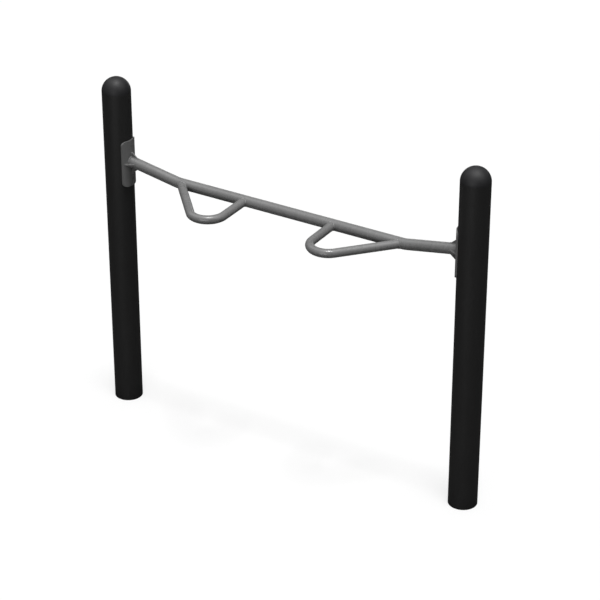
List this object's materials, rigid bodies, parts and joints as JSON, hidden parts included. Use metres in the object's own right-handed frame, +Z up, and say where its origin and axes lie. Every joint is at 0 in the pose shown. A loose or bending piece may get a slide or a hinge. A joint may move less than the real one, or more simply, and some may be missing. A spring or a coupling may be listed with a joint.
{
  "type": "chinning bar",
  "caption": "Playground chinning bar: a level tube with raised ends between round domed posts, with angled grip handles to the front.",
  "frame": {"origin": "on the ground, under the middle of the object's box", "axes": "+X along the bar from the left post to the right post, -Y towards the side the grip handles point to, +Z up"},
  "size_m": [1.8618, 0.3268, 1.5775],
  "materials": {
    "post_paint": "satin black powder coat",
    "cap_paint": "satin black powder coat",
    "bracket_paint": "satin grey powder coat",
    "bar_paint": "satin grey powder coat",
    "handle_paint": "satin grey powder coat",
    "screw_steel": "grey coated steel",
    "insert_steel": "zinc plated",
    "rivet_metal": "black"
  },
  "bodies": {
    "root": {"main_bar": "bar_paint", "left_post": "post_paint", "left_post_cap": "cap_paint", "left_cap_rivets": "rivet_metal", "left_handle": "handle_paint", "left_saddle_plate": "bracket_paint", "left_upper_gusset": "bracket_paint", "left_lower_gusset": "bracket_paint", "left_front_gusset": "bracket_paint", "left_rear_gusset": "bracket_paint", "left_upper_screw": "screw_steel", "left_lower_screw": "screw_steel", "left_upper_insert": "insert_steel", "left_lower_insert": "insert_steel", "right_post": "post_paint", "right_post_cap": "cap_paint", "right_cap_rivets": "rivet_metal", "right_handle": "handle_paint", "right_saddle_plate": "bracket_paint", "right_upper_gusset": "bracket_paint", "right_lower_gusset": "bracket_paint", "right_front_gusset": "bracket_paint", "right_rear_gusset": "bracket_paint", "right_upper_screw": "screw_steel", "right_lower_screw": "screw_steel", "right_upper_insert": "insert_steel", "right_lower_insert": "insert_steel"}
  },
  "joints": []
}
